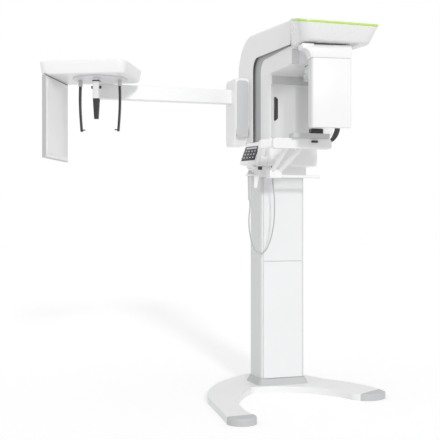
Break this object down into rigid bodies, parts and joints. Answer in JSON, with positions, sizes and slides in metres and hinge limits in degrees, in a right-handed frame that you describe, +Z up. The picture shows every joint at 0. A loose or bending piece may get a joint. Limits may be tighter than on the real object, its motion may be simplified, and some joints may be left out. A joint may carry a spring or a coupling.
{
  "type": "dental cone-beam ct scanner",
  "caption": "Free-standing dental cone-beam X-ray unit: lifting column on a curved floor base, arched carriage with a rotating gantry, and a side arm for skull pictures.",
  "frame": {"origin": "the middle of the column's foot, on the floor", "axes": "+Z up along the column, -Y towards the patient's side, +X to the right of the front"},
  "size_m": [2.0508, 1.3512, 2.3143],
  "materials": {
    "light_paint": "satin light grey paint",
    "grey_cap": "moulded grey caps",
    "column_alu": "satin anodised",
    "cover_paint": "satin silver paint",
    "motor_metal": "black painted motor",
    "steel": "ground steel",
    "mid_grey": "satin mid grey",
    "light_grey": "satin light grey",
    "shell_white": "pearl white moulding",
    "shell_silver": "silver grey moulding",
    "canopy_grey": "light silver moulding",
    "lime": "lime green trim",
    "dark": "black moulding",
    "smoked": "smoked glossy panel",
    "mirror": "tinted mirror",
    "arm_alu": "satin aluminium",
    "tube_metal": "satin light paint",
    "cord_grey": "grey jacket"
  },
  "bodies": {
    "stand": {"base_casting": "light_paint", "foot_cap_left": "grey_cap", "foot_cap_right": "grey_cap", "column_skirt": "grey_cap", "column_profile": "column_alu", "column_cover_lower": "cover_paint", "column_cover_upper": "cover_paint", "lift_motor": "motor_metal", "lift_screw": "steel", "guide_rail_left": "steel", "guide_rail_right": "steel"},
    "carriage": {"lift_nut": "steel", "carriage_collar": "mid_grey", "lower_shroud": "light_grey", "inner_shell": "shell_white", "liner_left": "dark", "liner_right": "dark", "outer_shell": "shell_silver", "canopy": "canopy_grey", "canopy_trim": "lime", "canopy_lid": "shell_white", "canopy_underplate": "dark", "bearing_drum": "dark", "smoked_band": "smoked", "mirror_panel": "mirror", "slot_window": "smoked", "ceph_bracket": "light_grey", "ceph_arm": "arm_alu", "ceph_canopy": "shell_white", "ceph_sensor_panel": "shell_white", "strap_arm": "shell_white", "table_bar": "shell_white", "rail_knuckle": "shell_white", "table_tube_right": "tube_metal", "table_tube_left": "tube_metal", "hand_rail": "tube_metal", "chin_plate": "mid_grey", "head_blade": "dark", "console_housing": "shell_white", "console_screen": "smoked", "switch_holder": "light_grey", "exposure_switch": "dark", "cord_gland": "dark", "switch_cord": "cord_grey"},
    "gantry": {"gantry_hub": "steel", "gantry_bridge": "mid_grey", "tube_housing": "shell_white", "collimator_window": "dark"},
    "detector": {"detector_housing": "shell_white"},
    "chin": {"chin_rest": "dark"},
    "bar_lock": {"bar_knob": "dark"},
    "stop": {"stop_knob": "dark"},
    "exposure_button": {"switch_button": "mid_grey"},
    "ceph_turntable": {"ceph_rotor": "mid_grey"},
    "ear_left": {"ear_arm_left": "dark"},
    "ear_right": {"ear_arm_right": "dark"},
    "nose_rest": {"nose_block": "mid_grey", "nose_rod": "dark"}
  },
  "joints": [
    {"name": "column_lift", "type": "slide", "parent": "stand", "child": "carriage", "axis": [0, 0, 1], "range_m": [-0.35, 0.2]},
    {"name": "gantry_rotation", "type": "hinge", "parent": "carriage", "child": "gantry", "pos_m": [0, -0.62, 2], "axis": [0, 0, 1], "range_deg": [-83, 97]},
    {"name": "detector_shift", "type": "slide", "parent": "gantry", "child": "detector", "axis": [0.9925, -0.1219, 0], "range_m": [-0.105, 0]},
    {"name": "chin_rest_height", "type": "slide", "parent": "carriage", "child": "chin", "axis": [0, 0, 1], "range_m": [0, 0.04]},
    {"name": "bar_lock_slide", "type": "slide", "parent": "carriage", "child": "bar_lock", "axis": [1, 0, 0], "range_m": [-0.02, 0.02]},
    {"name": "stop_press", "type": "slide", "parent": "carriage", "child": "stop", "axis": [0, 0, 1], "range_m": [0, 0.002], "stiffness_N_per_m": 2000},
    {"name": "exposure_press", "type": "slide", "parent": "carriage", "child": "exposure_button", "axis": [0, 0, -1], "range_m": [0, 0.003], "stiffness_N_per_m": 800},
    {"name": "ceph_turn", "type": "hinge", "parent": "carriage", "child": "ceph_turntable", "pos_m": [-1.18, -0.05, 1.95], "axis": [0, 0, 1], "range_deg": [-90, 90]},
    {"name": "ear_left_slide", "type": "slide", "parent": "ceph_turntable", "child": "ear_left", "axis": [0.8988, -0.4384, 0], "range_m": [-0.03, 0.06]},
    {"name": "ear_right_slide", "type": "slide", "parent": "ceph_turntable", "child": "ear_right", "axis": [-0.8988, 0.4384, 0], "range_m": [-0.03, 0.06]},
    {"name": "nose_rest_slide", "type": "slide", "parent": "ceph_turntable", "child": "nose_rest", "axis": [0.4384, 0.8988, 0], "range_m": [-0.02, 0.04]}
  ],
  "couplings": [
    {"joint": "ear_right_slide", "follows": "ear_left_slide", "ratio": 1}
  ]
}
